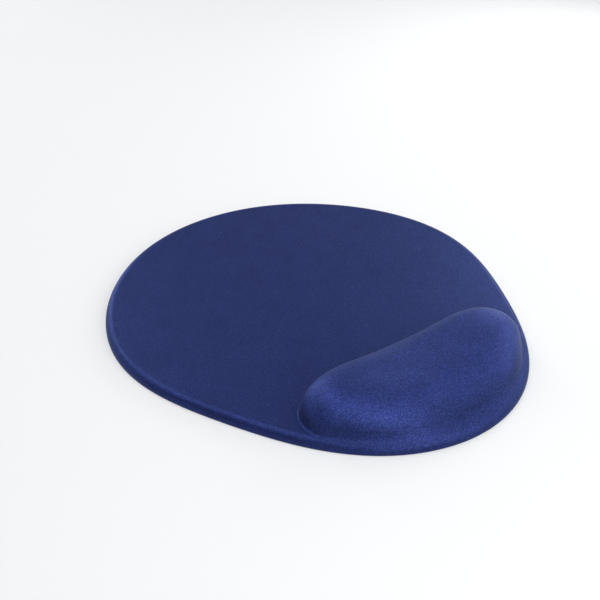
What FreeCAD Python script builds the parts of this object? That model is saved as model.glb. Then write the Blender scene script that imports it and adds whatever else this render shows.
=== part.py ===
import FreeCAD, Part
import math
import os
import Sketcher

# Mouse mat with a built-in wrist cushion: a laminate of flat layers and one
# sculpted gel cushion, all inside a stretched knit cover.
# Frame: millimetres, +Z up, z = 0 is the desk, origin under the centre of the
# bounding box. +Y is the far end of the mat, -Y is the heel where the wrist
# lies. The object is symmetric about the YZ plane.

V = FreeCAD.Vector
doc = FreeCAD.newDocument("wrist_rest_mat")

# ---------------------------------------------------------------- dimensions
dims = doc.addObject("Spreadsheet::Sheet", "dims")
ROWS = [
    # outline of the mat: six tangent arcs, front, two shoulders, two flanks, heel
    ("front_reach", 118.1, "origin to the front edge"),
    ("heel_reach", 118.1, "origin to the heel edge"),
    ("front_radius", 106.2, "outline radius at the front"),
    ("shoulder_radius", 82.65, "outline radius of the front corners"),
    ("flank_radius", 241.3, "outline radius of the long sides"),
    ("heel_radius", 78.2, "outline radius at the heel"),
    ("shoulder_offset", 23.16, "front corner centre, sideways from the middle"),
    # heights above the desk
    ("base_thick", 1.0, "non-slip base"),
    ("adhesive_thick", 0.1, "each bonding film"),
    ("core_thick", 3.1, "foam core of the mat"),
    ("backing_thick", 0.15, "film that closes the gel pocket"),
    ("liner_thick", 0.15, "film on the back of the fabric"),
    ("fabric_thick", 0.8, "knit cover"),
    ("skirt_gap", 0.25, "desk to the cut edge of the cover"),
    # edge of the cover
    ("hem_round", 0.2, "easing of the cut edge of the cover"),
    ("roll_radius", 4.0, "rounded upper edge of the cover"),
    ("core_round", 2.75, "rounded upper edge of the foam core"),
    ("base_round", 0.3, "eased lower edge of the base"),
    ("film_clear", 0.05, "room round a flat film"),
    # cushion: foot line, as distance from the cushion centre, by bearing from +Y
    ("cushion_centre", 79.76, "cushion centre, behind the origin"),
    ("foot_000", 28.0, "foot at 0 deg"),
    ("foot_012", 28.5, "foot at 12 deg"),
    ("foot_024", 30.3, "foot at 24 deg"),
    ("foot_036", 34.0, "foot at 36 deg"),
    ("foot_048", 41.0, "foot at 48 deg"),
    ("foot_058", 50.5, "foot at 58 deg"),
    ("foot_066", 58.9, "foot at 66 deg"),
    ("foot_074", 64.0, "foot at 74 deg"),
    ("foot_082", 65.3, "foot at 82 deg"),
    ("foot_090", 62.9, "foot at 90 deg"),
    ("foot_097", 57.8, "foot at 97 deg"),
    ("foot_105", 52.8, "foot at 105 deg"),
    ("foot_113", 48.7, "foot at 113 deg"),
    ("foot_122", 45.1, "foot at 122 deg"),
    ("foot_134", 41.5, "foot at 134 deg"),
    ("foot_148", 38.4, "foot at 148 deg"),
    ("foot_164", 36.4, "foot at 164 deg"),
    ("foot_180", 35.8, "foot at 180 deg"),
    # fullness of the side by bearing: a larger number keeps the crown level for
    # longer and makes the side steeper
    ("side_000", 3.06, "side fullness at 0 deg"),
    ("side_050", 3.56, "side fullness at 50 deg"),
    ("side_090", 5.30, "side fullness at 90 deg"),
    ("side_130", 3.40, "side fullness at 130 deg"),
    ("side_180", 2.60, "side fullness at 180 deg"),
    # roundness where the side meets the mat, by bearing: steep at the ends, running
    # out into the rolled edge along the heel
    ("root_000", 1.74, "roundness of the foot at 0 deg"),
    ("root_096", 1.74, "roundness of the foot at 96 deg"),
    ("root_136", 1.12, "roundness of the foot at 136 deg"),
    ("root_180", 1.10, "roundness of the foot at 180 deg"),
    # crown height above the mat: centre, and its change to the front, back and ends
    ("crown_mid", 15.82, "height at the saddle"),
    ("crown_lean", 5.36, "rise towards the front"),
    ("crown_bow", 4.33, "fall towards front and back"),
    ("crown_ends", 5.82, "rise towards the two lobes"),
    ("crown_skew", 0.70, "uneven fall, front against back"),
    ("crown_half_depth", 40.0, "depth scale of the crown"),
    ("crown_half_width", 60.0, "width scale of the crown"),
]
for i, (alias, value, note) in enumerate(ROWS, start=1):
    dims.set("A%d" % i, note)
    dims.set("B%d" % i, str(value))
    dims.setAlias("B%d" % i, alias)
doc.recompute()


def val(*aliases):
    return sum(float(dims.get(a)) for a in aliases)


def expr(*aliases):
    return " + ".join("dims." + a for a in aliases)


# the levels of the stack, named by what lies below them
CORE_FLOOR = ("base_thick", "adhesive_thick")
CORE_TOP = CORE_FLOOR + ("core_thick",)
BACKING_FLOOR = CORE_TOP + ("adhesive_thick",)
LINER_FLOOR = BACKING_FLOOR + ("backing_thick",)
FABRIC_FLOOR = LINER_FLOOR + ("liner_thick",)
FABRIC_TOP = FABRIC_FLOOR + ("fabric_thick",)


# ------------------------------------------------------------ outline sketch
def oval_arcs(inset):
    """The six arcs of the outline, moved in by inset, counter-clockwise from the front."""
    r1, r2, r3, r4 = (
        val(a) - inset
        for a in ("front_radius", "shoulder_radius", "flank_radius", "heel_radius")
    )
    c1 = (0.0, val("front_reach") - val("front_radius"))
    c4 = (0.0, val("heel_radius") - val("heel_reach"))
    x2 = val("shoulder_offset")
    c2 = (x2, c1[1] + math.sqrt((r1 - r2) ** 2 - x2**2))
    # the flank's centre lies r3 - r2 from the shoulder's and r3 - r4 from the heel's
    dx, dy = c4[0] - c2[0], c4[1] - c2[1]
    far = math.hypot(dx, dy)
    along = ((r3 - r2) ** 2 - (r3 - r4) ** 2 + far**2) / (2 * far)
    side = math.sqrt((r3 - r2) ** 2 - along**2)
    ux, uy = dx / far, dy / far
    c3 = (c2[0] + along * ux + side * uy, c2[1] + along * uy - side * ux)
    if c3[0] > 0:
        c3 = (c2[0] + along * ux - side * uy, c2[1] + along * uy + side * ux)

    def bearing(a, b):  # clockwise from +Y, of the direction from a to b
        return math.atan2(b[0] - a[0], b[1] - a[1])

    h1, h2, h3 = bearing(c1, c2), bearing(c3, c2), bearing(c3, c4)
    q = math.pi / 2

    def arc(c, r, a, b):
        return Part.ArcOfCircle(Part.Circle(V(c[0], c[1], 0), V(0, 0, 1), r), a, b)

    def left(c):
        return (-c[0], c[1])

    return [
        arc(c1, r1, q - h1, q + h1),
        arc(left(c2), r2, q + h1, q + h2),
        arc(left(c3), r3, q + h2, q + h3),
        arc(c4, r4, q + h3, 5 * q - h3),
        arc(c3, r3, 5 * q - h3, 5 * q - h2),
        arc(c2, r2, 5 * q - h2, 5 * q - h1),
    ]


def plane_of(body, role):
    return next(f for f in body.Origin.OriginFeatures if f.Role == role)


def oval_sketch(body, name, inset, level):
    """An outline moved in by the sum of the inset cells, at the height of the level cells."""
    sk = body.newObject("Sketcher::SketchObject", name)
    sk.AttachmentSupport = [(plane_of(body, "XY_Plane"), "")]
    sk.MapMode = "FlatFace"
    if level:
        sk.setExpression("AttachmentOffset.Base.z", expr(*level))
    sk.addGeometry(oval_arcs(val(*inset)), False)
    for i in range(6):
        sk.addConstraint(Sketcher.Constraint("Tangent", i, 2, (i + 1) % 6, 1))
    sk.addConstraint(Sketcher.Constraint("PointOnObject", 0, 3, -2))
    sk.addConstraint(Sketcher.Constraint("PointOnObject", 3, 3, -2))
    less = " - (" + expr(*inset) + ")" if inset else ""

    def drive(constraint, alias, expression):
        index = sk.addConstraint(constraint)
        sk.renameConstraint(index, alias)
        sk.setExpression("Constraints." + alias, expression)

    off = val("shoulder_offset")
    drive(
        Sketcher.Constraint(
            "DistanceY", -1, 1, 0, 3, val("front_reach") - val("front_radius")
        ),
        "front_centre",
        "dims.front_reach - dims.front_radius",
    )
    drive(
        Sketcher.Constraint(
            "DistanceY", 3, 3, -1, 1, val("heel_reach") - val("heel_radius")
        ),
        "heel_centre",
        "dims.heel_reach - dims.heel_radius",
    )
    drive(
        Sketcher.Constraint("DistanceX", -1, 1, 5, 3, off),
        "right_centre",
        "dims.shoulder_offset",
    )
    drive(
        Sketcher.Constraint("DistanceX", 1, 3, -1, 1, off),
        "left_centre",
        "dims.shoulder_offset",
    )
    for i, which in enumerate(("front", "shoulder", "flank", "heel", "flank", "shoulder")):
        cell = which + "_radius"
        drive(
            Sketcher.Constraint("Radius", i, val(cell) - val(*inset)),
            "arc_%d_%s" % (i, which),
            "dims." + cell + less,
        )
    return sk


def edges_at(shape, z):
    return [
        "Edge%d" % (i + 1)
        for i, e in enumerate(shape.Edges)
        if all(abs(v.Point.z - z) < 1e-6 for v in e.Vertexes)
    ]


def slab(name, inset, level, height, top_round=None, bottom_round=None):
    """A body: the outline moved in, padded up by height (an expression), with rounded rims."""
    body = doc.addObject("PartDesign::Body", name)
    body.Label = name
    sk = oval_sketch(body, name + "_outline", inset, level)
    pad = body.newObject("PartDesign::Pad", name + "_pad")
    pad.Profile = sk
    pad.setExpression("Length", height)
    doc.recompute()
    sk.Visibility = False
    box = pad.Shape.BoundBox
    last = pad
    for tag, z, cells in (("top", box.ZMax, top_round), ("bottom", box.ZMin, bottom_round)):
        if cells:
            fillet = body.newObject("PartDesign::Fillet", name + "_" + tag + "_round")
            fillet.Base = (last, edges_at(last.Shape, z))
            fillet.setExpression("Radius", cells)
            doc.recompute()
            last = fillet
    return body


# --------------------------------------------------------------- flat layers
WALL = ()
LINER_WALL = WALL + ("fabric_thick",)
CORE_WALL = LINER_WALL + ("liner_thick",)

nonslip_base = slab(
    "nonslip_base", CORE_WALL + ("film_clear",), (), "dims.base_thick",
    bottom_round="dims.base_round",
)
base_adhesive_film = slab(
    "base_adhesive_film", CORE_WALL + ("film_clear",), ("base_thick",),
    "dims.adhesive_thick",
)
mat_foam_core = slab(
    "mat_foam_core", CORE_WALL + ("adhesive_thick",), CORE_FLOOR, "dims.core_thick",
    top_round="dims.core_round",
)
core_adhesive_film = slab(
    "core_adhesive_film", WALL + ("roll_radius",), CORE_TOP, "dims.adhesive_thick"
)
gel_backing_film = slab(
    "gel_backing_film", WALL + ("roll_radius",), BACKING_FLOOR, "dims.backing_thick"
)

# ------------------------------------------------- the stretched outer layers
# Each is what lies between two nested forms: a slab with a rolled edge, plus
# the cushion on top of it. The three rolls have one centre line.
cover_form = slab(
    "cover_form", WALL, ("skirt_gap",), expr(*FABRIC_TOP) + " - dims.skirt_gap",
    top_round="dims.roll_radius", bottom_round="dims.hem_round",
)
liner_form = slab(
    "liner_form", LINER_WALL, (), expr(*FABRIC_FLOOR),
    top_round="dims.roll_radius - dims.fabric_thick",
)
core_form = slab(
    "core_form", CORE_WALL, (), expr(*LINER_FLOOR),
    top_round="dims.roll_radius - dims.fabric_thick - dims.liner_thick",
)

# ------------------------------------------------------------------- cushion
CY = -val("cushion_centre")
FOOT = [
    (float(a[5:]), float(dims.get(a))) for a, _, _ in ROWS if a.startswith("foot_")
]
SIDE = [
    (float(a[5:]), float(dims.get(a))) for a, _, _ in ROWS if a.startswith("side_")
]
ROOT = [
    (float(a[5:]), float(dims.get(a))) for a, _, _ in ROWS if a.startswith("root_")
]
COLUMNS = 56
RINGS = 15

# the closed foot line, through the stations on the right and their mirror images
stations = [
    V(r * math.sin(math.radians(b)), CY + r * math.cos(math.radians(b)), 0)
    for b, r in FOOT
]
stations += [V(-p.x, p.y, 0) for p in reversed(stations[1:-1])]
foot_curve = Part.BSplineCurve()
foot_curve.interpolate(Points=stations, PeriodicFlag=True)
columns = foot_curve.discretize(Number=COLUMNS + 1)[:-1]


def bearing_of(foot):
    return math.degrees(math.atan2(abs(foot.x), foot.y - CY))


def at_bearing(table, bearing):
    """A value from a table of stations, with smooth steps between them."""
    for (a, wa), (b, wb) in zip(table, table[1:]):
        if a <= bearing <= b:
            t = (bearing - a) / (b - a)
            return wa + (wb - wa) * t * t * (3 - 2 * t)
    return table[-1][1]


def crown(x, y):
    e = (y - CY) / val("crown_half_depth")
    k = x / val("crown_half_width")
    return (
        val("crown_mid")
        + val("crown_lean") * e
        - val("crown_bow") * e * e
        + val("crown_ends") * k * k
        - val("crown_skew") * e**3
    )


def surface_point(foot, q, fullness, root, top):
    """A point at share q of the way from the cushion's centre to its foot."""
    x, y = foot.x * q, CY + (foot.y - CY) * q
    level = max(0.0, 1 - q**fullness) ** (1 / root)
    return V(x, y, top + crown(x, y) * level)


def profile(foot, top):
    """Points from the cushion's centre out and down to the foot, evenly spaced along the surface."""
    fullness = at_bearing(SIDE, bearing_of(foot))
    root = at_bearing(ROOT, bearing_of(foot))
    line = [
        surface_point(foot, 1 - (1 - i / 80.0) ** 2, fullness, root, top)
        for i in range(81)
    ]
    gone = [0.0]
    for a, b in zip(line, line[1:]):
        gone.append(gone[-1] + (b - a).Length)
    out, j = [], 0
    for i in range(RINGS):
        want = gone[-1] * i / (RINGS - 1)
        while j < len(line) - 2 and gone[j + 1] < want:
            j += 1
        t = (want - gone[j]) / max(gone[j + 1] - gone[j], 1e-9)
        out.append(line[j] + (line[j + 1] - line[j]) * min(max(t, 0), 1))
    return out


def outer_grid(top):
    return [profile(f, top) for f in columns]


def moved_in(grid, depth):
    """The grid moved in along its normals; at a steep foot the normal is level."""
    if depth == 0:
        return [list(c) for c in grid]
    n, out = len(grid), []
    for j in range(n):
        before, after = grid[j - 1], grid[(j + 1) % n]
        col = []
        for i in range(RINGS):
            if i == 0:
                normal = V(0, 0, 1)
            else:
                round_ = after[i] - before[i]
                down = grid[j][min(i + 1, RINGS - 1)] - grid[j][i - 1]
                if i == RINGS - 1:
                    root = at_bearing(ROOT, bearing_of(grid[j][-1]))
                    steep = min(max((root - 1.15) / 0.35, 0.0), 1.0)
                    down.normalize()
                    down = down * (1 - steep) + V(0, 0, -1) * steep
                normal = down.cross(round_)
                normal.normalize()
                out_ = grid[j][i] - V(0, CY, 0)
                if normal.z * 1.0 + (normal.x * out_.x + normal.y * out_.y) * 0.02 < 0:
                    normal = -normal
            col.append(grid[j][i] - normal * depth)
        out.append(col)
    return out


def sharpened(row, first, last):
    """Poles whose cubic curve passes close to the row's points."""
    padded = [first] + row + [last]
    return [
        b - (a - b * 2 + c) / 6.0 for a, b, c in zip(padded, padded[1:], padded[2:])
    ]


def dome(depth, floor):
    """A closed solid: the cushion's outer surface moved in by depth, down to a flat floor."""
    grid = moved_in(outer_grid(val(*FABRIC_TOP)), depth)
    n = len(grid)
    rows = []
    for j in range(n):
        col = list(grid[j])
        f = col[-1]
        drop = f.z - floor
        col += [V(f.x, f.y, f.z - drop * t) for t in (0.5, 1.0)]
        opposite = grid[(j + n // 2) % n][1]
        poles = sharpened(col, opposite, col[-1] + (col[-1] - col[-2]))
        poles[0], poles[-1] = col[0], col[-1]
        poles[-2] = V(f.x, f.y, poles[-2].z)
        poles[-3] = V(f.x, f.y, poles[-3].z)
        rows.append(poles)
    count = len(rows[0])
    net = []
    for j in range(n):
        a, b, c = rows[j - 1], rows[j], rows[(j + 1) % n]
        net.append(
            [
                V(*(q[k] - (p[k] - 2 * q[k] + s[k]) / 6.0 for k in range(3)))
                for p, q, s in zip(a, b, c)
            ]
        )
    top = V(0, CY, sum(net[j][0].z for j in range(n)) / n)
    for j in range(n):
        net[j] = [V(p.x, p.y, max(p.z, floor)) for p in net[j]]
        net[j][0] = top
        net[j][-1] = V(net[j][-1].x, net[j][-1].y, floor)
    surface = Part.BSplineSurface()
    surface.buildFromPolesMultsKnots(
        net,
        [1] * (n + 1),
        [4] + [1] * (count - 4) + [4],
        [float(k) for k in range(n + 1)],
        [float(k) for k in range(count - 2)],
        True,
        False,
        3,
        3,
    )
    skin = surface.toShape()
    rim = [
        e
        for e in skin.Edges
        if e.Length > 50 and abs(e.BoundBox.ZMax - floor) < 1e-4
        and abs(e.BoundBox.ZMin - floor) < 1e-4
    ]
    bottom = Part.Face(Part.Wire(rim))
    # the floor has to face away from the skin's inside
    for floor_face in (bottom, bottom.reversed()):
        solid = Part.Solid(Part.Shell([skin, floor_face]))
        if solid.isValid():
            break
    if solid.Volume < 0:
        solid.reverse()
    return solid


def feature(name, shape):
    f = doc.addObject("Part::Feature", name)
    f.Label = name
    f.Shape = shape
    f.Placement = FreeCAD.Placement(V(0, 0, 0), FreeCAD.Rotation(0, 0, 0, 1))
    return f


cover_dome = feature("cover_dome", dome(0.0, val(*FABRIC_TOP) - 0.6))
liner_dome = feature("liner_dome", dome(val("fabric_thick"), val(*FABRIC_FLOOR) - 0.6))
gel_fill = feature(
    "gel_fill", dome(val("fabric_thick", "liner_thick"), val(*LINER_FLOOR))
)


def fuse(name, shapes):
    f = doc.addObject("Part::MultiFuse", name)
    f.Label = name
    f.Shapes = shapes
    return f


def cut(name, base, tool):
    f = doc.addObject("Part::Cut", name)
    f.Label = name
    f.Base = base
    f.Tool = tool
    return f


cover_outside = fuse("cover_outside", [cover_form, cover_dome])
liner_outside = fuse("liner_outside", [liner_form, liner_dome])
fabric_cover = cut("fabric_cover", cover_outside, liner_outside)
# the liner starts at the cut edge of the cover, above the desk
skirt = doc.addObject("Part::Box", "skirt_room")
skirt.Label = "skirt_room"
for side in ("Length", "Width"):
    skirt.setExpression(side, "2.4 * dims.front_reach")
skirt.setExpression("Height", "dims.skirt_gap")
skirt.setExpression("Placement.Base.x", "-1.2 * dims.front_reach")
skirt.setExpression("Placement.Base.y", "-1.2 * dims.front_reach")
liner_blank = cut("liner_blank", liner_outside, skirt)
liner_inside = fuse("liner_inside", [core_form, gel_fill])
cover_liner_film = cut("cover_liner_film", liner_blank, liner_inside)

doc.recompute()

PARTS = [
    nonslip_base,
    base_adhesive_film,
    mat_foam_core,
    core_adhesive_film,
    gel_backing_film,
    gel_fill,
    cover_liner_film,
    fabric_cover,
]

for obj in doc.Objects:
    if any(word in obj.State for word in ("Invalid", "Error")):
        raise RuntimeError("%s failed: %s" % (obj.Name, obj.State))
for obj in PARTS:
    shape = obj.Shape
    if shape.isNull() or not shape.isValid():
        raise RuntimeError("%s has no valid shape" % obj.Label)

os.makedirs("parts", exist_ok=True)
for obj in PARTS:
    shape = obj.Shape
    box = shape.BoundBox
    print(
        "%-20s solids %d faces %3d volume %10.1f mm3 z %.2f..%.2f x %.2f y %.2f..%.2f"
        % (
            obj.Label, len(shape.Solids), len(shape.Faces), shape.Volume,
            box.ZMin, box.ZMax, box.XMax, box.YMin, box.YMax,
        )
    )
    shape.exportStep(os.path.join("parts", obj.Label + ".step"))
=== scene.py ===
import bpy
import math
import numpy as np
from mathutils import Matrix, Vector


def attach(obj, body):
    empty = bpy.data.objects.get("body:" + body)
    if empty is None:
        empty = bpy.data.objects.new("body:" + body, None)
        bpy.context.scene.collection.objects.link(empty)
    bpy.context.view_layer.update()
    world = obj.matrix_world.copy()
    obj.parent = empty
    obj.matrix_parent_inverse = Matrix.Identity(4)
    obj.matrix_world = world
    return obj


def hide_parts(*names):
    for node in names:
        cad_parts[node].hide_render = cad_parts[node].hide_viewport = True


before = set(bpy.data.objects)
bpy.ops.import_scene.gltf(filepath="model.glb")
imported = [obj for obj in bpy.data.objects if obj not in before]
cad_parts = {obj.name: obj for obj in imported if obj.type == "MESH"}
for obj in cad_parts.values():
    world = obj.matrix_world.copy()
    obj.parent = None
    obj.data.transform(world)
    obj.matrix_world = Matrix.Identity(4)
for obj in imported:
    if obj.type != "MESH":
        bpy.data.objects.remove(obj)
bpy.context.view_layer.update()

# Everything below is worked out in millimetres in the CAD frame and scaled to metres at the end.
MM = 0.001
MAT_TOP = 5.4
YC = -79.76  # cushion centre


# ------------------------------------------------------------------ outline of the mat
def outline_polar(th):
    """The mat's edge, as distance from a point 4.24 mm ahead of the origin, by bearing from +Y."""
    r = 1 + 0.0638 * np.cos(2 * th) - 0.0401 * np.cos(3 * th) + 0.016 * np.cos(4 * th)
    r = r + 0.0029 * np.cos(5 * th) - 0.0019 * np.cos(6 * th) - 0.0006 * np.cos(7 * th)
    return 109.9 * r


M = 7200
_th = np.arange(M) * 2 * np.pi / M
_r = outline_polar(_th)
OUT = np.c_[_r * np.sin(_th), _r * np.cos(_th) + 4.24]
_t = np.roll(OUT, -1, 0) - np.roll(OUT, 1, 0)
_t /= np.linalg.norm(_t, axis=1)[:, None]
OUT_IN = np.c_[_t[:, 1], -_t[:, 0]]  # inward normal (the outline runs clockwise)
_len = np.r_[0, np.cumsum(np.linalg.norm(np.diff(np.r_[OUT, OUT[:1]], axis=0), axis=1))]
PERIM = _len[-1]


def outline_at(s):
    """Point and inward normal of the outline at arc length s."""
    s = np.mod(s, PERIM)
    closed, normals = np.r_[OUT, OUT[:1]], np.r_[OUT_IN, OUT_IN[:1]]
    p = np.c_[np.interp(s, _len, closed[:, 0]), np.interp(s, _len, closed[:, 1])]
    n = np.c_[np.interp(s, _len, normals[:, 0]), np.interp(s, _len, normals[:, 1])]
    return p, n / np.linalg.norm(n, axis=1)[:, None]


# ------------------------------------------------------------------ foot line of the cushion
HALF_FOOT = np.array([
    (0, -51.75), (16, -52.18), (32, -52.36), (47.3, -53.76), (59.3, -59.4), (64.3, -68.6),
    (64.2, -76.3), (61.6, -81.9), (58.2, -85.95), (53.9, -90.6), (48.0, -96.2), (39.8, -102.6),
    (29.8, -108.6), (20.4, -112.3), (10.0, -114.8), (0, -115.6),
])


def periodic_spline(points, n):
    """n points, evenly spaced, on the smooth closed curve through points."""
    k = len(points)
    h = np.linalg.norm(np.roll(points, -1, 0) - points, axis=1)
    hm = np.roll(h, 1)
    a = np.zeros((k, k))
    rhs = np.zeros((k, 2))
    for i in range(k):
        a[i, i] = 2 * (hm[i] + h[i])
        a[i, (i - 1) % k] += hm[i]
        a[i, (i + 1) % k] += h[i]
        rhs[i] = 6 * (
            (points[(i + 1) % k] - points[i]) / h[i] - (points[i] - points[i - 1]) / hm[i]
        )
    m = np.linalg.solve(a, rhs)
    fine = []
    for i in range(k):
        u = np.linspace(0, h[i], 200, endpoint=False)[:, None]
        p0, p1, m0, m1 = points[i], points[(i + 1) % k], m[i], m[(i + 1) % k]
        fine.append(
            m0 * (h[i] - u) ** 3 / (6 * h[i]) + m1 * u**3 / (6 * h[i])
            + (p0 / h[i] - m0 * h[i] / 6) * (h[i] - u) + (p1 / h[i] - m1 * h[i] / 6) * u
        )
    fine = np.vstack(fine)
    closed = np.r_[fine, fine[:1]]
    along = np.r_[0, np.cumsum(np.linalg.norm(np.diff(closed, axis=0), axis=1))]
    at = np.linspace(0, along[-1], n, endpoint=False)
    return np.c_[np.interp(at, along, closed[:, 0]), np.interp(at, along, closed[:, 1])]


N = 520  # columns round the cushion
foot = periodic_spline(np.r_[HALF_FOOT, HALF_FOOT[-2:0:-1] * [-1, 1]], N)
bearing = np.degrees(np.arctan2(foot[:, 0], foot[:, 1] - YC))
side = np.abs(bearing)


def by_bearing(stations, values, spread=10.0):
    """Values at bearings, joined by straight runs and then blurred along the bearing so that no step shows in the surface."""
    deg = np.arange(-360, 361, 1.0)
    line_ = np.interp(np.abs((deg + 180) % 360 - 180), stations, values)
    kernel = np.exp(-0.5 * (np.arange(-60, 61) / spread) ** 2)
    soft = np.convolve(line_, kernel / kernel.sum(), mode="same")
    return np.interp(side, deg, soft)


# where each column of the mesh meets the outline: square across near the cushion, fanned out ahead of it
d2 = ((foot[:, None, :] - OUT[None, ::4, :]) ** 2).sum(2)
near = _len[:-1:4][d2.argmin(1)]
near = np.where(near > PERIM / 2, near - PERIM, near)
FAN = 76.0
order = np.argsort(bearing)
fan = side < FAN
edge_s = np.interp(FAN, bearing[order], near[order])
count = np.arange(N)
slope = (np.interp(FAN + 6, bearing[order], near[order]) - edge_s) / (
    np.interp(FAN + 6, bearing[order], count) - np.interp(FAN, bearing[order], count)
)
index_of = np.interp(bearing, bearing[order], np.arange(N) - np.interp(0, bearing[order], np.arange(N)))
t_edge = np.interp(FAN, bearing[order], np.arange(N) - np.interp(0, bearing[order], np.arange(N)))
b3 = (slope * t_edge - edge_s) / 2
a1 = edge_s - b3
tt = index_of / t_edge
out_s = np.where(fan, a1 * tt + b3 * tt**3, near)
# even out the join between the two rules
ring = np.argsort(index_of)
smooth = out_s[ring].copy()
for _ in range(30):
    smooth[1:-1] = 0.25 * smooth[:-2] + 0.5 * smooth[1:-1] + 0.25 * smooth[2:]
keep_near = side > FAN + 12
out_s[ring] = np.where(keep_near[ring], out_s[ring], smooth)
edge, edge_in = outline_at(out_s)

# ------------------------------------------------------------------ cross-section of the cover, column by column
ROLL = 4.0
n_full = by_bearing([0, 50, 88, 112, 135, 160, 180], [3.06, 3.50, 5.75, 5.30, 3.85, 2.90, 2.70])
root = by_bearing([0, 92, 128, 152, 180], [1.74, 1.74, 1.25, 1.13, 1.10], 12.0)
crease_up = by_bearing([0, 100, 140, 180], [1.5, 1.5, 4.0, 4.0])
crease_out = by_bearing([0, 100, 140, 180], [1.5, 1.5, 3.0, 3.0])


def crown(x, y):
    e, k = (y - YC) / 40.0, x / 60.0
    return 15.82 + 5.36 * e - 4.33 * e * e + 5.82 * k * k - 0.70 * e**3


def resample(line, at):
    """Points at the given arc lengths on each column's line. line is (N, K, 3), at is (N, R)."""
    step_ = np.linalg.norm(np.diff(line, axis=1), axis=2)
    along = np.concatenate([np.zeros((len(line), 1)), np.cumsum(step_, axis=1)], axis=1)
    out = np.zeros((len(line), at.shape[1], 3))
    for j in range(len(line)):
        for c in range(3):
            out[j, :, c] = np.interp(at[j], along[j], line[j, :, c])
    return out, along[:, -1]


def total(line):
    return np.linalg.norm(np.diff(line, axis=1), axis=2).sum(1)


# dome, from the cushion's centre out to its foot
q = 1 - (1 - np.linspace(0, 1, 260)) ** 2.4
dx = foot[:, None, 0] * q
dy = YC + (foot[:, None, 1] - YC) * q
level = np.maximum(1 - q[None, :] ** n_full[:, None], 0) ** (1 / root[:, None])
dome = np.stack([dx, dy, MAT_TOP + crown(dx, dy) * level], axis=2)

# mat, from the foot out to the wall
inset_foot = np.sqrt(((foot - edge) ** 2).sum(1))
a_edge = np.minimum(ROLL, inset_foot - 0.05)
e_pt = edge + edge_in * a_edge[:, None]


def roll_z(inset):
    down = np.clip((ROLL - inset) / ROLL, 0, 1)
    return MAT_TOP - ROLL + ROLL * np.sqrt(1 - down**2)


flat_t = np.linspace(0, 1, 60)
flat_xy = foot[:, None, :] * (1 - flat_t[None, :, None]) + e_pt[:, None, :] * flat_t[None, :, None]
flat_inset = inset_foot[:, None] * (1 - flat_t) + a_edge[:, None] * flat_t
flat = np.concatenate([flat_xy, roll_z(flat_inset)[:, :, None]], axis=2)
alpha0 = np.arcsin(np.clip((ROLL - a_edge) / ROLL, 0, 1))
al = alpha0[:, None] + (math.radians(90) - alpha0)[:, None] * np.linspace(0, 1, 60)[None, 1:]
ins = ROLL - ROLL * np.sin(al)
roll_xy = edge[:, None, :] + edge_in[:, None, :] * ins[:, :, None]
roll = np.concatenate([roll_xy, (MAT_TOP - ROLL + ROLL * np.cos(al))[:, :, None]], axis=2)
mat = np.concatenate([flat, roll], axis=1)

# the crease between them, as a small blend on each column
KD, KF, KM = 46, 9, 50
dome_len, mat_len = total(dome), total(mat)
dome_pts, _ = resample(dome, (dome_len - crease_up)[:, None] * np.linspace(0, 1, KD + 1)[None, :])
start = np.minimum(crease_out, 0.45 * mat_len)
left = mat_len - start
first = 0.42
growth = np.zeros(N)
for j in range(N):
    ratio = left[j] / (first * KM)
    if ratio > 1.0001:
        lo_, hi_ = 1e-6, 12.0
        for _ in range(60):
            mid = (lo_ + hi_) / 2
            lo_, hi_ = (mid, hi_) if (math.exp(mid) - 1) / mid < ratio else (lo_, mid)
        growth[j] = lo_
tau = np.linspace(1, 0, KM + 1)[None, :]
g = growth[:, None]
back = np.where(g > 1e-4, left[:, None] * (np.exp(np.maximum(g, 1e-6) * tau) - 1) / (np.exp(np.maximum(g, 1e-6)) - 1), left[:, None] * tau)
mat_pts, _ = resample(mat, mat_len[:, None] - back)


def tangent(line, at):
    p, _ = resample(line, np.stack([at - 0.05, at + 0.05], axis=1))
    d = p[:, 1] - p[:, 0]
    return d / np.linalg.norm(d, axis=1)[:, None]


t0, t2 = tangent(dome, dome_len - crease_up), tangent(mat, start)
p0, p2 = dome_pts[:, -1], mat_pts[:, 0]
reach = 0.39 * np.linalg.norm(p2 - p0, axis=1)[:, None]
c0, c1 = p0 + t0 * reach, p2 - t2 * reach
u = np.linspace(0, 1, KF + 1)[1:-1]
crease = np.stack([
    p0 * (1 - v) ** 3 + c0 * 3 * v * (1 - v) ** 2 + c1 * 3 * v * v * (1 - v) + p2 * v**3 for v in u
], axis=1)

# the foot of the wall and the cut edge of the fabric: (inset, height)
HEM = [
    (0.0, 1.1), (0.0, 0.8), (0.01, 0.56), (0.06, 0.39), (0.17, 0.29), (0.32, 0.25), (0.56, 0.25), (0.8, 0.27),
]
hem = np.stack([
    np.c_[edge + edge_in * a, np.full(N, h_)] for a, h_ in HEM
], axis=1)

outer = np.concatenate([dome_pts, crease, mat_pts, hem], axis=1)
outer[:, 0] = np.array([0, YC, MAT_TOP + crown(0.0, YC)])


def grid_normals(g_):
    """Normals of the grid g_[column, ring], which closes on itself across columns."""
    across = np.roll(g_, -1, 0) - np.roll(g_, 1, 0)
    down = np.empty_like(g_)
    down[:, 1:-1] = g_[:, 2:] - g_[:, :-2]
    down[:, 0], down[:, -1] = g_[:, 1] - g_[:, 0], g_[:, -1] - g_[:, -2]
    n_ = np.cross(down, across)
    length = np.linalg.norm(n_, axis=2, keepdims=True)
    n_ = n_ / np.maximum(length, 1e-12)
    n_[:, 0] = (0, 0, 1)
    return n_


normals = grid_normals(outer)
if normals[:, 5, 2].mean() < 0:
    normals = -normals
    normals[:, 0] = (0, 0, 1)

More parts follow.
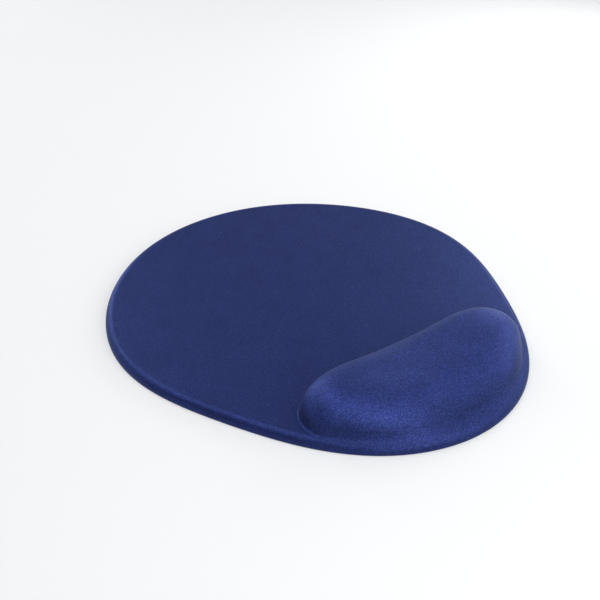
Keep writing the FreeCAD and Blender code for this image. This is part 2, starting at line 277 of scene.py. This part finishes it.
# the inside of the cover, 0.8 mm in, on every second ring as far as the roll
last_roll = KD + 1 + (KF - 1) + KM
picks = list(range(last_roll, 0, -2))
inner = outer[:, picks] - 0.8 * normals[:, picks]
inner_foot = np.c_[edge + edge_in * 0.8, np.full(N, 0.6)][:, None]
inner = np.concatenate([inner_foot, inner], axis=1)
inner_top = outer[0, 0] - (0, 0, 0.8)


def build_closed(name, outer_, inner_, inner_top_):
    """One closed mesh: a centre point, rings going out over the top, rings coming back inside, and a centre point."""
    cols, rings = outer_.shape[0], outer_.shape[1] - 1
    verts = [outer_[0, 0]]
    body = np.concatenate([outer_[:, 1:], inner_], axis=1)
    k = body.shape[1]
    verts = np.concatenate([[outer_[0, 0]], body.reshape(-1, 3), [inner_top_]])
    faces = []
    idx = lambda j, i: 1 + (j % cols) * k + i
    for j in range(cols):
        faces.append((0, idx(j + 1, 0), idx(j, 0)))
        for i in range(k - 1):
            faces.append((idx(j, i), idx(j + 1, i), idx(j + 1, i + 1), idx(j, i + 1)))
        faces.append((len(verts) - 1, idx(j, k - 1), idx(j + 1, k - 1)))
    me = bpy.data.meshes.new(name)
    me.from_pydata([tuple(v * MM) for v in verts], [], faces)
    me.validate()
    me.update()
    ob = bpy.data.objects.new(name, me)
    bpy.context.scene.collection.objects.link(ob)
    for p in me.polygons:
        p.use_smooth = True
    return ob


cover = build_closed("knit_cover", outer, inner, inner_top)
import bmesh
bm = bmesh.new()
bm.from_mesh(cover.data)
bmesh.ops.recalc_face_normals(bm, faces=bm.faces)
bm.to_mesh(cover.data)
bm.free()


# ------------------------------------------------------------------ materials
YARN_DARK = (0.0136, 0.0222, 0.0960)
YARN_MEAN = (0.0196, 0.0320, 0.1400)
YARN_LIGHT = (0.0400, 0.0630, 0.2600)
LUSTRE = 0.67
EDGE_TINT = (0.66, 0.76, 1.0)
# painted shade: the knit on the mat's edge wall, low down, is darkened to this factor
WALL_PAINTED_SHADE = 0.80
FLAT_SHADE_LEVEL = 1.00
# painted shade: the knit on the cushion's crease and lower flank, about 9.6 mm up, is darkened to this factor
CREASE_PAINTED_SHADE = 0.74
# painted light: the knit on the cushion's top is lightened by this factor
CUSHION_PAINTED_LIGHT = 1.27
FLECK_FLAT = 2.3
FLECK_CUSHION = 2.9
GLOSS_ROUGH = 0.50


def new_material(name):
    m = bpy.data.materials.new(name)
    m.use_nodes = True
    nt = m.node_tree
    nt.nodes.clear()
    out = nt.nodes.new("ShaderNodeOutputMaterial")
    bsdf = nt.nodes.new("ShaderNodeBsdfPrincipled")
    nt.links.new(bsdf.outputs[0], out.inputs[0])
    return m, nt, bsdf


def node(nt, kind, **values):
    n_ = nt.nodes.new(kind)
    for k_, v_ in values.items():
        if k_ in n_.inputs:
            n_.inputs[k_].default_value = v_
        else:
            setattr(n_, k_, v_)
    return n_


def mm_coordinates(nt, scale=(1000, 1000, 1000), rotation=(0, 0, 0)):
    tc = nt.nodes.new("ShaderNodeTexCoord")
    mp = nt.nodes.new("ShaderNodeMapping")
    mp.inputs["Scale"].default_value = scale
    mp.inputs["Rotation"].default_value = rotation
    nt.links.new(tc.outputs["Object"], mp.inputs["Vector"])
    return mp.outputs["Vector"]


def knit_material():
    """Dyed nylon jersey: flecks of the loops, slow drifts of tone, a few lint specks. The flecks show more on the
    cushion than on the mat; painted light makes the cushion paler, and painted shade makes the crease round its foot
    and the mat's edge wall deeper.
    """
    m, nt, bsdf = new_material("knit_jersey_blue")
    co = mm_coordinates(nt)
    fleck = node(nt, "ShaderNodeTexNoise", Scale=1.7, Detail=2.0, Roughness=0.6)
    blotch = node(nt, "ShaderNodeTexNoise", Scale=0.10, Detail=3.0, Roughness=0.55)
    loops = node(nt, "ShaderNodeTexVoronoi", Scale=1.7, Randomness=0.8)
    lint = node(nt, "ShaderNodeTexVoronoi", Scale=0.085, Randomness=1.0)
    for t in (fleck, blotch, loops, lint):
        nt.links.new(co, t.inputs["Vector"])
    # painted light and shade by height above the desk: darker on the edge wall and on the cushion's crease and lower
    # flank, lighter on the cushion's top
    xyz = nt.nodes.new("ShaderNodeSeparateXYZ")
    nt.links.new(co, xyz.inputs["Vector"])
    height = node(nt, "ShaderNodeMapRange")
    for key, value in (("From Min", 0.0), ("From Max", 24.0), ("To Min", 0.0), ("To Max", 1.0)):
        height.inputs[key].default_value = value
    nt.links.new(xyz.outputs["Z"], height.inputs["Value"])
    painted_shade_ramp = nt.nodes.new("ShaderNodeValToRGB")
    el = painted_shade_ramp.color_ramp.elements
    # painted shade on the mat's edge wall
    el[0].position, el[0].color = 0.10, (WALL_PAINTED_SHADE,) * 3 + (1,)
    el[1].position, el[1].color = 0.205, (FLAT_SHADE_LEVEL,) * 3 + (1,)
    el.new(0.26).color = (FLAT_SHADE_LEVEL,) * 3 + (1,)
    # painted shade on the cushion's crease and lower flank
    el.new(0.40).color = (CREASE_PAINTED_SHADE,) * 3 + (1,)
    # painted light on the cushion's top
    el.new(0.66).color = (CUSHION_PAINTED_LIGHT,) * 3 + (1,)
    nt.links.new(height.outputs["Result"], painted_shade_ramp.inputs["Fac"])
    # yarn: the flecks' contrast grows with the stretch
    contrast = node(nt, "ShaderNodeMapRange")
    for key, value in (("From Min", 0.22), ("From Max", 0.42), ("To Min", FLECK_FLAT), ("To Max", FLECK_CUSHION)):
        contrast.inputs[key].default_value = value
    nt.links.new(height.outputs["Result"], contrast.inputs["Value"])
    centred = node(nt, "ShaderNodeMath", operation="SUBTRACT")
    centred.inputs[1].default_value = 0.5
    nt.links.new(fleck.outputs["Fac"], centred.inputs[0])
    swing = node(nt, "ShaderNodeMath", operation="MULTIPLY_ADD")
    swing.inputs[2].default_value = 0.5
    nt.links.new(centred.outputs[0], swing.inputs[0])
    nt.links.new(contrast.outputs["Result"], swing.inputs[1])
    ramp = nt.nodes.new("ShaderNodeValToRGB")
    ramp.color_ramp.elements[0].position, ramp.color_ramp.elements[1].position = 0.0, 1.0
    ramp.color_ramp.elements[0].color = (*YARN_DARK, 1)
    ramp.color_ramp.elements[1].color = (*YARN_LIGHT, 1)
    ramp.color_ramp.elements.new(0.5).color = (*YARN_MEAN, 1)
    nt.links.new(swing.outputs[0], ramp.inputs["Fac"])
    # painted light and shade: the yarn colour is multiplied by the height ramp
    painted_shade_mix = node(nt, "ShaderNodeMix", data_type="RGBA", blend_type="MULTIPLY")
    painted_shade_mix.inputs[0].default_value = 1.0
    nt.links.new(ramp.outputs["Color"], painted_shade_mix.inputs[6])
    nt.links.new(painted_shade_ramp.outputs["Color"], painted_shade_mix.inputs[7])
    hsv = node(nt, "ShaderNodeHueSaturation")
    value = node(nt, "ShaderNodeMath", operation="MULTIPLY_ADD")
    value.inputs[1].default_value, value.inputs[2].default_value = 0.36, 0.82
    nt.links.new(blotch.outputs["Fac"], value.inputs[0])
    nt.links.new(value.outputs[0], hsv.inputs["Value"])
    nt.links.new(painted_shade_mix.outputs[2], hsv.inputs["Color"])
    # lint: a speck in one cell out of three
    near = node(nt, "ShaderNodeMath", operation="LESS_THAN")
    near.inputs[1].default_value = 0.032
    nt.links.new(lint.outputs["Distance"], near.inputs[0])
    cell = nt.nodes.new("ShaderNodeSeparateColor")
    nt.links.new(lint.outputs["Color"], cell.inputs[0])
    chosen = node(nt, "ShaderNodeMath", operation="LESS_THAN")
    chosen.inputs[1].default_value = 0.33
    nt.links.new(cell.outputs[0], chosen.inputs[0])
    speck = node(nt, "ShaderNodeMath", operation="MULTIPLY")
    nt.links.new(near.outputs[0], speck.inputs[0])
    nt.links.new(chosen.outputs[0], speck.inputs[1])
    half = node(nt, "ShaderNodeMath", operation="MULTIPLY")
    half.inputs[1].default_value = 0.55
    nt.links.new(speck.outputs[0], half.inputs[0])
    dusted = node(nt, "ShaderNodeMix", data_type="RGBA", blend_type="MIX")
    dusted.inputs[7].default_value = (0.16, 0.18, 0.30, 1)
    nt.links.new(half.outputs[0], dusted.inputs[0])
    nt.links.new(hsv.outputs["Color"], dusted.inputs[6])
    nt.links.new(dusted.outputs[2], bsdf.inputs["Base Color"])
    # lustre of the filament yarn
    rough = node(nt, "ShaderNodeMapRange")
    for key, value_ in (("From Min", 0.3), ("From Max", 0.7), ("To Min", GLOSS_ROUGH + 0.05), ("To Max", GLOSS_ROUGH - 0.05)):
        rough.inputs[key].default_value = value_
    nt.links.new(fleck.outputs["Fac"], rough.inputs["Value"])
    nt.links.new(rough.outputs["Result"], bsdf.inputs["Roughness"])
    bsdf.inputs["Metallic"].default_value = LUSTRE
    bsdf.inputs["IOR"].default_value = 1.45
    bsdf.inputs["Specular IOR Level"].default_value = 0.3
    bsdf.inputs["Specular Tint"].default_value = (*EDGE_TINT, 1)
    bsdf.inputs["Sheen Weight"].default_value = 0.06
    bsdf.inputs["Sheen Roughness"].default_value = 0.35
    bsdf.inputs["Sheen Tint"].default_value = (0.78, 0.86, 1.0, 1)
    # loops stand up a little
    relief = node(nt, "ShaderNodeMath", operation="MULTIPLY_ADD")
    relief.inputs[1].default_value = -0.6
    nt.links.new(loops.outputs["Distance"], relief.inputs[0])
    nt.links.new(fleck.outputs["Fac"], relief.inputs[2])
    bump = node(nt, "ShaderNodeBump", Strength=0.5, Distance=0.00012)
    nt.links.new(relief.outputs[0], bump.inputs["Height"])
    nt.links.new(bump.outputs["Normal"], bsdf.inputs["Normal"])
    return m


def plain_layer(name, low, high, roughness, scale=0.4, bump_mm=0.02, grip_mm=0.0):
    m, nt, bsdf = new_material(name)
    co = mm_coordinates(nt)
    n1 = node(nt, "ShaderNodeTexNoise", Scale=scale, Detail=4.0, Roughness=0.6)
    nt.links.new(co, n1.inputs["Vector"])
    ramp = nt.nodes.new("ShaderNodeValToRGB")
    ramp.color_ramp.elements[0].position, ramp.color_ramp.elements[1].position = 0.3, 0.7
    ramp.color_ramp.elements[0].color = (*low, 1)
    ramp.color_ramp.elements[1].color = (*high, 1)
    nt.links.new(n1.outputs["Fac"], ramp.inputs["Fac"])
    nt.links.new(ramp.outputs["Color"], bsdf.inputs["Base Color"])
    bsdf.inputs["Roughness"].default_value = roughness
    bump = node(nt, "ShaderNodeBump", Strength=0.5, Distance=bump_mm * MM)
    nt.links.new(n1.outputs["Fac"], bump.inputs["Height"])
    if grip_mm:
        # small round pips in near-even rows, as moulded into the rubber
        pips = node(nt, "ShaderNodeTexVoronoi", Scale=0.62, Randomness=0.12)
        nt.links.new(co, pips.inputs["Vector"])
        pip = node(nt, "ShaderNodeMapRange")
        for key, value_ in (("From Min", 0.18), ("From Max", 0.42), ("To Min", 1.0), ("To Max", 0.0)):
            pip.inputs[key].default_value = value_
        nt.links.new(pips.outputs["Distance"], pip.inputs["Value"])
        grip = node(nt, "ShaderNodeBump", Strength=1.0, Distance=grip_mm * MM)
        nt.links.new(pip.outputs["Result"], grip.inputs["Height"])
        nt.links.new(bump.outputs["Normal"], grip.inputs["Normal"])
        nt.links.new(grip.outputs["Normal"], bsdf.inputs["Normal"])
    else:
        nt.links.new(bump.outputs["Normal"], bsdf.inputs["Normal"])
    return m


cover.data.materials.append(knit_material())
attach(cover, "root")
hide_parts("fabric_cover")

layer_materials = {
    "cover_liner_film": plain_layer("milky_film", (0.60, 0.62, 0.68), (0.72, 0.73, 0.78), 0.45),
    "gel_fill": plain_layer("cast_gel", (0.42, 0.52, 0.72), (0.52, 0.61, 0.78), 0.25, scale=0.12),
    "gel_backing_film": plain_layer("backing_film", (0.66, 0.67, 0.70), (0.76, 0.77, 0.79), 0.4),
    "core_adhesive_film": plain_layer("hot_melt_film", (0.66, 0.62, 0.46), (0.78, 0.74, 0.58), 0.6),
    "mat_foam_core": plain_layer("closed_cell_foam", (0.020, 0.020, 0.022), (0.050, 0.050, 0.054), 0.9, scale=2.2, bump_mm=0.15),
    "base_adhesive_film": plain_layer("hot_melt_film_base", (0.66, 0.62, 0.46), (0.78, 0.74, 0.58), 0.6),
    "nonslip_base": plain_layer("nonslip_rubber", (0.010, 0.010, 0.011), (0.022, 0.022, 0.024), 0.62, scale=1.2, bump_mm=0.08, grip_mm=0.25),
}
for name, material in layer_materials.items():
    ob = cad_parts[name]
    ob.data.materials.clear()
    ob.data.materials.append(material)

# ------------------------------------------------------------------ floor, light, camera
bpy.ops.mesh.primitive_plane_add(size=40, location=(0, 0, 0))
floor = bpy.context.active_object
floor.name = "floor"
fm, nt, bsdf = new_material("pale_floor")
bsdf.inputs["Base Color"].default_value = (0.55, 0.557, 0.565, 1)
bsdf.inputs["Roughness"].default_value = 0.9
bsdf.inputs["Specular IOR Level"].default_value = 0.1
bsdf.inputs["Emission Color"].default_value = (0.97, 0.985, 1.0, 1)
# the far floor is out of the lamps' reach, so it glows more and stays as pale as the near floor
place = nt.nodes.new("ShaderNodeTexCoord")
reach = node(nt, "ShaderNodeVectorMath", operation="LENGTH")
nt.links.new(place.outputs["Object"], reach.inputs[0])
fall = node(nt, "ShaderNodeMapRange", interpolation_type="SMOOTHSTEP")
for key, value_ in (("From Min", 0.7), ("From Max", 1.4), ("To Min", 0.34), ("To Max", 0.86)):
    fall.inputs[key].default_value = value_
nt.links.new(reach.outputs["Value"], fall.inputs["Value"])
nt.links.new(fall.outputs["Result"], bsdf.inputs["Emission Strength"])
floor.data.materials.append(fm)


def area_light(name, azimuth, elevation, distance, size, energy, color=(1, 1, 1)):
    """azimuth: the compass side the light stands on, clockwise from +Y."""
    a, e = math.radians(azimuth), math.radians(elevation)
    at = Vector((math.sin(a) * math.cos(e), math.cos(a) * math.cos(e), math.sin(e))) * distance
    data = bpy.data.lights.new(name, "AREA")
    data.shape = "DISK"
    data.size = size
    data.energy = energy
    data.color = color
    ob = bpy.data.objects.new(name, data)
    ob.location = at
    ob.rotation_mode = "QUATERNION"
    ob.rotation_quaternion = (-at).to_track_quat("-Z", "Y")
    bpy.context.scene.collection.objects.link(ob)
    return ob


LIGHTS = [
    ("near_180_30", 180, 30, 0.5, 0.22, 0.528),
    ("near_70_22", 70, 22, 0.5, 0.22, 0.441),
    ("far_0_15", 0, 15, 1.1, 0.45, 1.880),
    ("far_315_60", 315, 60, 1.1, 0.45, 1.658),
    ("near_100_22", 100, 22, 0.5, 0.22, 0.313),
    ("far_0_38", 0, 38, 1.1, 0.45, 1.505),
    ("far_225_60", 225, 60, 1.1, 0.45, 1.440),
    ("far_200_15", 200, 15, 1.1, 0.45, 1.424),
    ("far_120_15", 120, 15, 1.1, 0.45, 1.414),
    ("far_330_75", 330, 75, 1.1, 0.45, 1.118),
    ("far_216_38", 216, 38, 1.1, 0.45, 1.052),
    ("far_160_15", 160, 15, 1.1, 0.45, 0.867),
    ("far_144_38", 144, 38, 1.1, 0.45, 0.829),
    ("far_135_60", 135, 60, 1.1, 0.45, 0.810),
    ("far_320_15", 320, 15, 1.1, 0.45, 0.741),
    ("far_270_60", 270, 60, 1.1, 0.45, 0.582),
    ("far_180_60", 180, 60, 1.1, 0.45, 0.550),
    ("far_324_38", 324, 38, 1.1, 0.45, 0.534),
    ("far_150_8", 150, 8, 1.1, 0.45, 0.467),
    ("far_40_15", 40, 15, 1.1, 0.45, 0.460),
    ("near_70_42", 70, 42, 0.5, 0.22, 0.092),
    ("far_80_15", 80, 15, 1.1, 0.45, 0.355),
]
for row in LIGHTS:
    area_light(*row)

world = bpy.data.worlds.new("studio")
bpy.context.scene.world = world
world.use_nodes = True
world.node_tree.nodes["Background"].inputs[0].default_value = (0.93, 0.95, 1.0, 1)
world.node_tree.nodes["Background"].inputs[1].default_value = 0.100

cam_data = bpy.data.cameras.new("camera")
cam = bpy.data.objects.new("camera", cam_data)
bpy.context.scene.collection.objects.link(cam)
cam_data.sensor_width = 36.0
cam_data.lens = 75.11
cam_data.clip_start, cam_data.clip_end = 0.01, 50
cam.location = (-0.33028, -0.42469, 0.36809)
cam.rotation_mode = "QUATERNION"
cam.rotation_quaternion = Vector((0.49703473, 0.66891526, -0.55272855)).to_track_quat("-Z", "Y")
bpy.context.scene.camera = cam
bpy.context.scene.view_settings.view_transform = "Standard"
bpy.context.scene.view_settings.look = "None"
